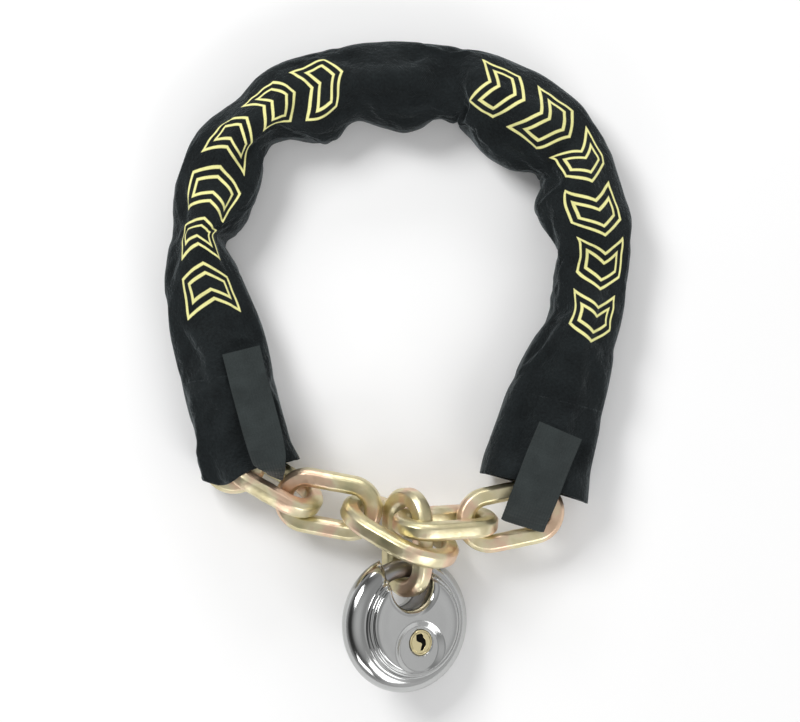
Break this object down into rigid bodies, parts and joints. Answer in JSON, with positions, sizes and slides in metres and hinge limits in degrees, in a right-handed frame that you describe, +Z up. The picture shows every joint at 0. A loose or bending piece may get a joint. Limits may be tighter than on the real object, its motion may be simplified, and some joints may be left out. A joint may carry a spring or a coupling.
{
  "type": "chain lock",
  "caption": "Security chain of hardened square-bar links in a black fabric sleeve, passed through its own large end link and closed by a round stainless steel disc padlock.",
  "frame": {"origin": "centre of the footprint, on the surface the lock lies on", "axes": "+Y runs from the padlock across the loop to its far bend, +X to the right seen from above, +Z up"},
  "size_m": [0.2427, 0.3307, 0.0527],
  "materials": {
    "chain_steel": "yellow zinc plated, satin with worn bright edges",
    "sleeve_fabric": "dense matt weave",
    "strap_webbing": "ribbed webbing",
    "stainless_shell": "polished stainless steel with fine round turning marks",
    "hardened_steel": "satin",
    "zinc_core": "as cast",
    "brass": "satin",
    "spring_steel": "bright drawn wire"
  },
  "bodies": {
    "link_s01": {"link_s01": "chain_steel"},
    "link_s02": {"link_s02": "chain_steel", "sleeve_1": "sleeve_fabric"},
    "link_s03": {"link_s03": "chain_steel"},
    "link_s04": {"link_s04": "chain_steel", "sleeve_2": "sleeve_fabric"},
    "link_s05": {"link_s05": "chain_steel"},
    "link_s06": {"link_s06": "chain_steel", "sleeve_3": "sleeve_fabric"},
    "link_s07": {"link_s07": "chain_steel"},
    "link_s08": {"link_s08": "chain_steel", "sleeve_4": "sleeve_fabric"},
    "link_s09": {"link_s09": "chain_steel"},
    "link_s10": {"link_s10": "chain_steel", "sleeve_5": "sleeve_fabric"},
    "link_s11": {"link_s11": "chain_steel"},
    "link_s12": {"link_s12": "chain_steel", "sleeve_6": "sleeve_fabric"},
    "link_s13": {"link_s13": "chain_steel"},
    "link_s14": {"link_s14": "chain_steel", "sleeve_7": "sleeve_fabric"},
    "link_s15": {"link_s15": "chain_steel"},
    "link_s16": {"link_s16": "chain_steel", "sleeve_8": "sleeve_fabric"},
    "link_l1": {"link_l1": "chain_steel", "strap_left": "strap_webbing"},
    "link_l2": {"link_l2": "chain_steel"},
    "link_noose": {"link_noose": "chain_steel"},
    "link_r1": {"link_r1": "chain_steel", "strap_right": "strap_webbing"},
    "link_r2": {"link_r2": "chain_steel"},
    "link_end": {"link_end": "chain_steel"},
    "padlock": {"front_shell": "stainless_shell", "rear_shell": "stainless_shell", "mouth_guard": "hardened_steel", "front_core": "zinc_core", "rear_core": "zinc_core", "pivot_pin": "hardened_steel", "keyway_collar": "hardened_steel", "pin_spring_1": "spring_steel", "pin_spring_2": "spring_steel", "pin_spring_3": "spring_steel", "pin_spring_4": "spring_steel"},
    "shackle": {"shackle": "hardened_steel"},
    "plug": {"key_plug": "brass", "plug_pinion": "brass"},
    "key_pin_1": {"key_pin_1": "brass"},
    "driver_pin_1": {"driver_pin_1": "hardened_steel"},
    "key_pin_2": {"key_pin_2": "brass"},
    "driver_pin_2": {"driver_pin_2": "hardened_steel"},
    "key_pin_3": {"key_pin_3": "brass"},
    "driver_pin_3": {"driver_pin_3": "hardened_steel"},
    "key_pin_4": {"key_pin_4": "brass"},
    "driver_pin_4": {"driver_pin_4": "hardened_steel"}
  },
  "joints": [
    {"name": "fold_s08_s09", "type": "hinge", "parent": "link_s08", "child": "link_s09", "pos_m": [0.01259, 0.14429, 0.0185], "axis": [0, 0, 1], "range_deg": [-4, 4], "deforming": ["sleeve_4"]},
    {"name": "fold_s08_s07", "type": "hinge", "parent": "link_s08", "child": "link_s07", "pos_m": [-0.0333, 0.14113, 0.0185], "axis": [0, 0, 1], "range_deg": [-2.47, 2.47], "deforming": ["sleeve_4"]},
    {"name": "fold_s07_s06", "type": "hinge", "parent": "link_s07", "child": "link_s06", "pos_m": [-0.05413, 0.13578, 0.0185], "axis": [0, 0, 1], "range_deg": [-3.61, 3.61], "deforming": ["sleeve_3"]},
    {"name": "fold_s06_s05", "type": "hinge", "parent": "link_s06", "child": "link_s05", "pos_m": [-0.08884, 0.1056, 0.0185], "axis": [0, 0, 1], "range_deg": [-3.2, 3.2], "deforming": ["sleeve_3"]},
    {"name": "fold_s05_s04", "type": "hinge", "parent": "link_s05", "child": "link_s04", "pos_m": [-0.09614, 0.08537, 0.0185], "axis": [0, 0, 1], "range_deg": [-4.43, 4.43], "deforming": ["sleeve_2"]},
    {"name": "fold_s04_s03", "type": "hinge", "parent": "link_s04", "child": "link_s03", "pos_m": [-0.1004, 0.03957, 0.0185], "axis": [0, 0, 1], "range_deg": [-2.14, 2.14], "deforming": ["sleeve_2"]},
    {"name": "fold_s03_s02", "type": "hinge", "parent": "link_s03", "child": "link_s02", "pos_m": [-0.0954, 0.01866, 0.0185], "axis": [0, 0, 1], "range_deg": [-2.05, 2.05], "deforming": ["sleeve_1"]},
    {"name": "fold_s02_s01", "type": "hinge", "parent": "link_s02", "child": "link_s01", "pos_m": [-0.08498, -0.02614, 0.0185], "axis": [0, 0, 1], "range_deg": [-1.98, 1.98], "deforming": ["sleeve_1"]},
    {"name": "fold_s01_l1", "type": "hinge", "parent": "link_s01", "child": "link_l1", "pos_m": [-0.0836, -0.0476, 0.0185], "axis": [0, 0, 1], "range_deg": [-2.02, 2.02], "deforming": ["strap_left"]},
    {"name": "fold_l1_l2", "type": "hinge", "parent": "link_l1", "child": "link_l2", "pos_m": [-0.0438, -0.0706, 0.0185], "axis": [0, 0, 1], "range_deg": [-4.29, 4.29]},
    {"name": "fold_l2_noose", "type": "hinge", "parent": "link_l2", "child": "link_noose", "pos_m": [-0.0164, -0.075, 0.0185], "axis": [0, 0, 1], "range_deg": [-1.72, 1.72]},
    {"name": "fold_s09_s10", "type": "hinge", "parent": "link_s09", "child": "link_s10", "pos_m": [0.03381, 0.14084, 0.0185], "axis": [0, 0, 1], "range_deg": [-2.5, 2.5], "deforming": ["sleeve_5"]},
    {"name": "fold_s10_s11", "type": "hinge", "parent": "link_s10", "child": "link_s11", "pos_m": [0.07558, 0.12157, 0.0185], "axis": [0, 0, 1], "range_deg": [-2.76, 2.76], "deforming": ["sleeve_5"]},
    {"name": "fold_s11_s12", "type": "hinge", "parent": "link_s11", "child": "link_s12", "pos_m": [0.08789, 0.10395, 0.0185], "axis": [0, 0, 1], "range_deg": [-2.39, 2.39], "deforming": ["sleeve_6"]},
    {"name": "fold_s12_s13", "type": "hinge", "parent": "link_s12", "child": "link_s13", "pos_m": [0.09828, 0.05913, 0.0185], "axis": [0, 0, 1], "range_deg": [-1.99, 1.99], "deforming": ["sleeve_6"]},
    {"name": "fold_s13_s14", "type": "hinge", "parent": "link_s13", "child": "link_s14", "pos_m": [0.09503, 0.03788, 0.0185], "axis": [0, 0, 1], "range_deg": [-3.55, 3.55], "deforming": ["sleeve_7"]},
    {"name": "fold_s14_s15", "type": "hinge", "parent": "link_s14", "child": "link_s15", "pos_m": [0.08441, -0.00688, 0.0185], "axis": [0, 0, 1], "range_deg": [-2.85, 2.85], "deforming": ["sleeve_7"]},
    {"name": "fold_s15_s16", "type": "hinge", "parent": "link_s15", "child": "link_s16", "pos_m": [0.07804, -0.02741, 0.0185], "axis": [0, 0, 1], "range_deg": [-2.25, 2.25], "deforming": ["sleeve_8"]},
    {"name": "fold_s16_r1", "type": "hinge", "parent": "link_s16", "child": "link_r1", "pos_m": [0.06683, -0.07203, 0.0185], "axis": [0, 0, 1], "range_deg": [-2.56, 2.56], "deforming": ["strap_right"]},
    {"name": "fold_r1_r2", "type": "hinge", "parent": "link_r1", "child": "link_r2", "pos_m": [0.0412, -0.0806, 0.0185], "axis": [0, 0, 1], "range_deg": [-3.25, 3.25]},
    {"name": "fold_r2_end", "type": "hinge", "parent": "link_r2", "child": "link_end", "pos_m": [0, -0.08, 0.0185], "axis": [0, 0, 1], "range_deg": [-1.72, 1.72]},
    {"name": "padlock_swing", "type": "hinge", "parent": "link_end", "child": "padlock", "pos_m": [0.00024, -0.10162, 0.0253], "axis": [0.5, 0, 0.866], "range_deg": [-2.5, 6]},
    {"name": "shackle_turn", "type": "hinge", "parent": "padlock", "child": "shackle", "pos_m": [0.00075, -0.1287, 0.02097], "axis": [0.5, 0, 0.866], "range_deg": [0, 72]},
    {"name": "plug_turn", "type": "hinge", "parent": "padlock", "child": "plug", "pos_m": [0.005, -0.13776, 0.02256], "axis": [0.5, 0, 0.866], "range_deg": [-73, 1]},
    {"name": "key_pin_1_slide", "type": "slide", "parent": "plug", "child": "key_pin_1", "axis": [-0.083, 0.9954, 0.0479], "range_m": [0, 0.0008]},
    {"name": "driver_pin_1_slide", "type": "slide", "parent": "padlock", "child": "driver_pin_1", "axis": [-0.083, 0.9954, 0.0479], "range_m": [-0.0008, 0], "stiffness_N_per_m": 40, "springref_m": 0.0006, "deforming": ["pin_spring_1"]},
    {"name": "key_pin_2_slide", "type": "slide", "parent": "plug", "child": "key_pin_2", "axis": [-0.083, 0.9954, 0.0479], "range_m": [0, 0.0008]},
    {"name": "driver_pin_2_slide", "type": "slide", "parent": "padlock", "child": "driver_pin_2", "axis": [-0.083, 0.9954, 0.0479], "range_m": [-0.0008, 0], "stiffness_N_per_m": 40, "springref_m": 0.0006, "deforming": ["pin_spring_2"]},
    {"name": "key_pin_3_slide", "type": "slide", "parent": "plug", "child": "key_pin_3", "axis": [-0.083, 0.9954, 0.0479], "range_m": [0, 0.0008]},
    {"name": "driver_pin_3_slide", "type": "slide", "parent": "padlock", "child": "driver_pin_3", "axis": [-0.083, 0.9954, 0.0479], "range_m": [-0.0008, 0], "stiffness_N_per_m": 40, "springref_m": 0.0006, "deforming": ["pin_spring_3"]},
    {"name": "key_pin_4_slide", "type": "slide", "parent": "plug", "child": "key_pin_4", "axis": [-0.083, 0.9954, 0.0479], "range_m": [0, 0.0008]},
    {"name": "driver_pin_4_slide", "type": "slide", "parent": "padlock", "child": "driver_pin_4", "axis": [-0.083, 0.9954, 0.0479], "range_m": [-0.0008, 0], "stiffness_N_per_m": 40, "springref_m": 0.0006, "deforming": ["pin_spring_4"]}
  ],
  "couplings": [
    {"joint": "fold_s08_s07", "follows": "fold_s08_s09", "ratio": 0.55143},
    {"joint": "fold_s07_s06", "follows": "fold_s08_s09", "ratio": 0.82799},
    {"joint": "fold_s06_s05", "follows": "fold_s08_s09", "ratio": -0.72743},
    {"joint": "fold_s05_s04", "follows": "fold_s08_s09", "ratio": 1.0273},
    {"joint": "fold_s04_s03", "follows": "fold_s08_s09", "ratio": -0.47188},
    {"joint": "fold_s03_s02", "follows": "fold_s08_s09", "ratio": -0.45001},
    {"joint": "fold_s02_s01", "follows": "fold_s08_s09", "ratio": -0.43153},
    {"joint": "fold_s01_l1", "follows": "fold_s08_s09", "ratio": -0.44166},
    {"joint": "fold_l1_l2", "follows": "fold_s08_s09", "ratio": 0.99185},
    {"joint": "fold_l2_noose", "follows": "fold_s08_s09", "ratio": -0.36812},
    {"joint": "fold_s09_s10", "follows": "fold_s08_s09", "ratio": -0.55902},
    {"joint": "fold_s10_s11", "follows": "fold_s08_s09", "ratio": -0.62157},
    {"joint": "fold_s11_s12", "follows": "fold_s08_s09", "ratio": 0.53121},
    {"joint": "fold_s12_s13", "follows": "fold_s08_s09", "ratio": 0.43359},
    {"joint": "fold_s13_s14", "follows": "fold_s08_s09", "ratio": 0.81403},
    {"joint": "fold_s14_s15", "follows": "fold_s08_s09", "ratio": -0.64287},
    {"joint": "fold_s15_s16", "follows": "fold_s08_s09", "ratio": 0.49746},
    {"joint": "fold_s16_r1", "follows": "fold_s08_s09", "ratio": -0.5719},
    {"joint": "fold_r1_r2", "follows": "fold_s08_s09", "ratio": -0.7411},
    {"joint": "fold_r2_end", "follows": "fold_s08_s09", "ratio": 0.36812},
    {"joint": "plug_turn", "follows": "shackle_turn", "ratio": -1}
  ]
}
